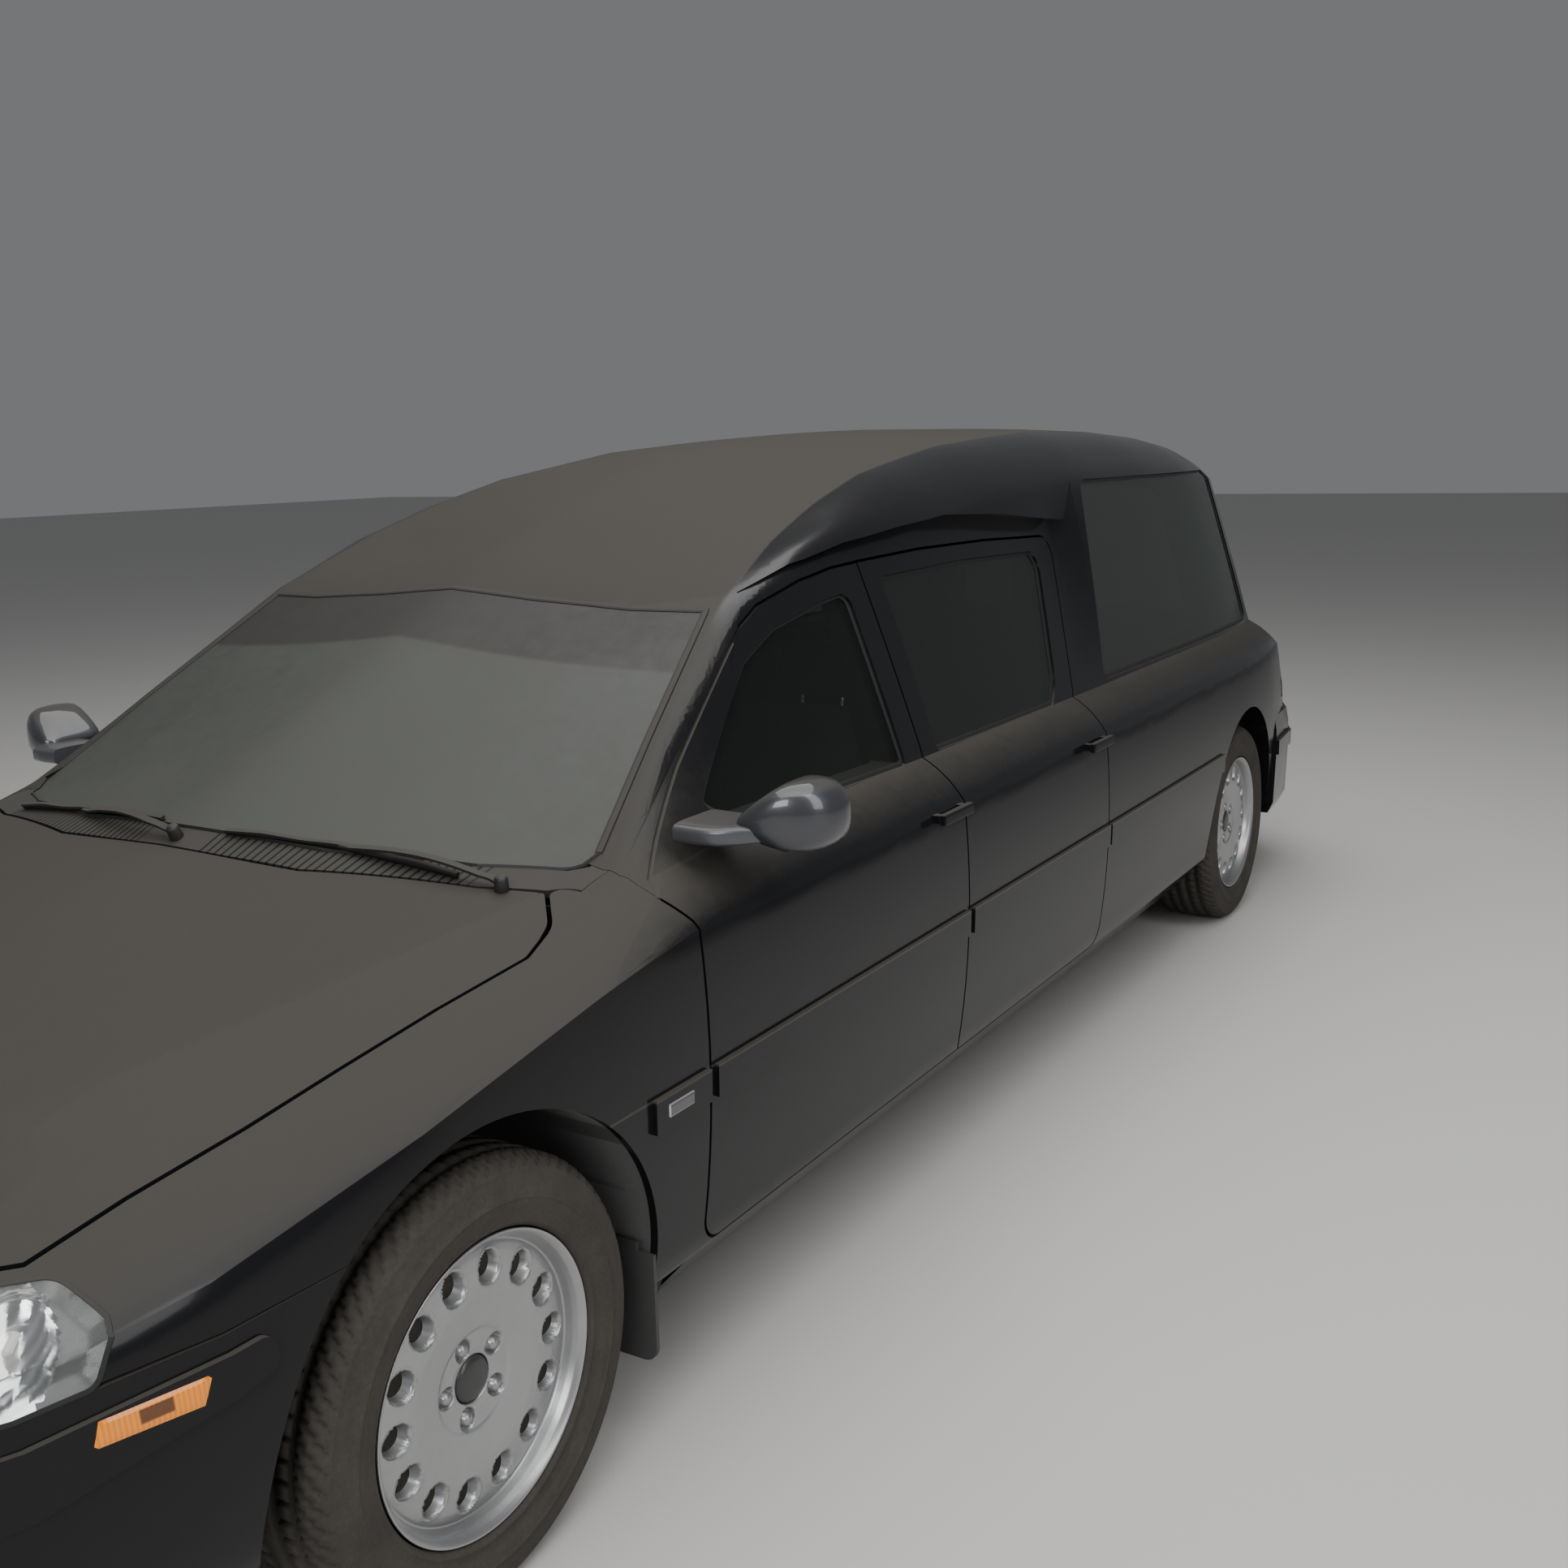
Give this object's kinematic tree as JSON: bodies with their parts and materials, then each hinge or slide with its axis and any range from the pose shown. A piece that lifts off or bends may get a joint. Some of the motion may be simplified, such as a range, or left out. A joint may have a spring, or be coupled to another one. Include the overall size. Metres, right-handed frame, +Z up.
{
  "type": "hearse",
  "caption": "Long black hearse with four side doors, a raised roof, a glazed load space with a flat deck, a bonnet, a tailgate and steered front wheels.",
  "frame": {"origin": "on the ground, at mid-length and mid-width of the car's box", "axes": "+X forwards, +Y to the car's left, +Z up"},
  "size_m": [5.77, 2.0758, 1.617],
  "materials": {
    "paint": "gloss black under road dust",
    "glass": "tinted, dusty",
    "trim_black": "satin",
    "trim": "grained",
    "lamp": "clear",
    "tail_lamp": "clear red",
    "upholstery": "woven",
    "deck": "brushed",
    "underbody": "matt",
    "engine": "cast",
    "chassis": "matt",
    "rim": "painted silver",
    "tyre": "dusty"
  },
  "bodies": {
    "body": {"front_frame": "underbody", "floor_pan": "underbody", "engine": "engine", "dashboard": "trim", "front_wing_left": "paint", "front_wing_right": "paint", "front_bumper": "paint", "grille": "trim_black", "headlamps": "lamp", "windscreen": "glass", "cowl": "trim_black", "body_side_left": "paint", "body_side_right": "paint", "roof": "paint", "load_windows": "glass", "rear_bumper": "paint", "tail_lamps": "tail_lamp", "front_seats": "upholstery", "rear_seat": "upholstery", "load_deck": "deck", "wheel_housings": "underbody", "rear_axle": "chassis", "exhaust": "chassis", "wipers": "trim_black"},
    "steering_wheel": {"steering_wheel": "trim"},
    "bonnet": {"bonnet": "paint"},
    "tailgate": {"tailgate": "paint", "tailgate_glass": "glass"},
    "knuckle_left": {"knuckle_left": "chassis"},
    "knuckle_right": {"knuckle_right": "chassis"},
    "door_front_left": {"door_front_left": "paint", "door_glass_front_left": "glass", "mirror_left": "paint"},
    "door_rear_left": {"door_rear_left": "paint", "door_glass_rear_left": "glass"},
    "door_front_right": {"door_front_right": "paint", "door_glass_front_right": "glass", "mirror_right": "paint"},
    "door_rear_right": {"door_rear_right": "paint", "door_glass_rear_right": "glass"},
    "wheel_front_left": {"rim_front_left": "rim", "tyre_front_left": "tyre"},
    "wheel_front_right": {"rim_front_right": "rim", "tyre_front_right": "tyre"},
    "wheel_rear_left": {"rim_rear_left": "rim", "tyre_rear_left": "tyre"},
    "wheel_rear_right": {"rim_rear_right": "rim", "tyre_rear_right": "tyre"}
  },
  "joints": [
    {"name": "bonnet_hinge", "type": "hinge", "parent": "body", "child": "bonnet", "pos_m": [1.535, 0, 0.975], "axis": [0, -1, 0], "range_deg": [0, 55]},
    {"name": "tailgate_hinge", "type": "hinge", "parent": "body", "child": "tailgate", "pos_m": [-2.417, 0, 1.4735], "axis": [0, 1, 0], "range_deg": [0, 80]},
    {"name": "door_front_left_hinge", "type": "hinge", "parent": "body", "child": "door_front_left", "pos_m": [1.389, 0.91, 0.6], "axis": [0, 0, -1], "range_deg": [0, 65]},
    {"name": "door_rear_left_hinge", "type": "hinge", "parent": "body", "child": "door_rear_left", "pos_m": [0.39, 0.91, 0.6], "axis": [0, 0, -1], "range_deg": [0, 70]},
    {"name": "door_front_right_hinge", "type": "hinge", "parent": "body", "child": "door_front_right", "pos_m": [1.389, -0.91, 0.6], "axis": [0, 0, 1], "range_deg": [0, 65]},
    {"name": "door_rear_right_hinge", "type": "hinge", "parent": "body", "child": "door_rear_right", "pos_m": [0.39, -0.91, 0.6], "axis": [0, 0, 1], "range_deg": [0, 70]},
    {"name": "steer_left", "type": "hinge", "parent": "body", "child": "knuckle_left", "pos_m": [1.935, 0.713, 0.214], "axis": [0, -0.1904, 0.9817], "range_deg": [-34, 34]},
    {"name": "steer_right", "type": "hinge", "parent": "body", "child": "knuckle_right", "pos_m": [1.935, -0.713, 0.214], "axis": [0, 0.1904, 0.9817], "range_deg": [-34, 34]},
    {"name": "steering_wheel_turn", "type": "hinge", "parent": "body", "child": "steering_wheel", "pos_m": [0.905, 0.37, 0.8], "axis": [-0.9063, 0, 0.4226], "range_deg": [-510, 510]},
    {"name": "wheel_front_left_spin", "type": "hinge", "parent": "knuckle_left", "child": "wheel_front_left", "pos_m": [1.935, 0.791, 0.3215], "axis": [0, 1, 0], "continuous": true},
    {"name": "wheel_front_right_spin", "type": "hinge", "parent": "knuckle_right", "child": "wheel_front_right", "pos_m": [1.935, -0.791, 0.3215], "axis": [0, 1, 0], "continuous": true},
    {"name": "wheel_rear_left_spin", "type": "hinge", "parent": "body", "child": "wheel_rear_left", "pos_m": [-1.805, 0.78, 0.3215], "axis": [0, 1, 0], "continuous": true},
    {"name": "wheel_rear_right_spin", "type": "hinge", "parent": "body", "child": "wheel_rear_right", "pos_m": [-1.805, -0.78, 0.3215], "axis": [0, 1, 0], "continuous": true}
  ],
  "couplings": [
    {"joint": "steer_right", "follows": "steer_left", "ratio": 1},
    {"joint": "steering_wheel_turn", "follows": "steer_left", "ratio": 15}
  ]
}
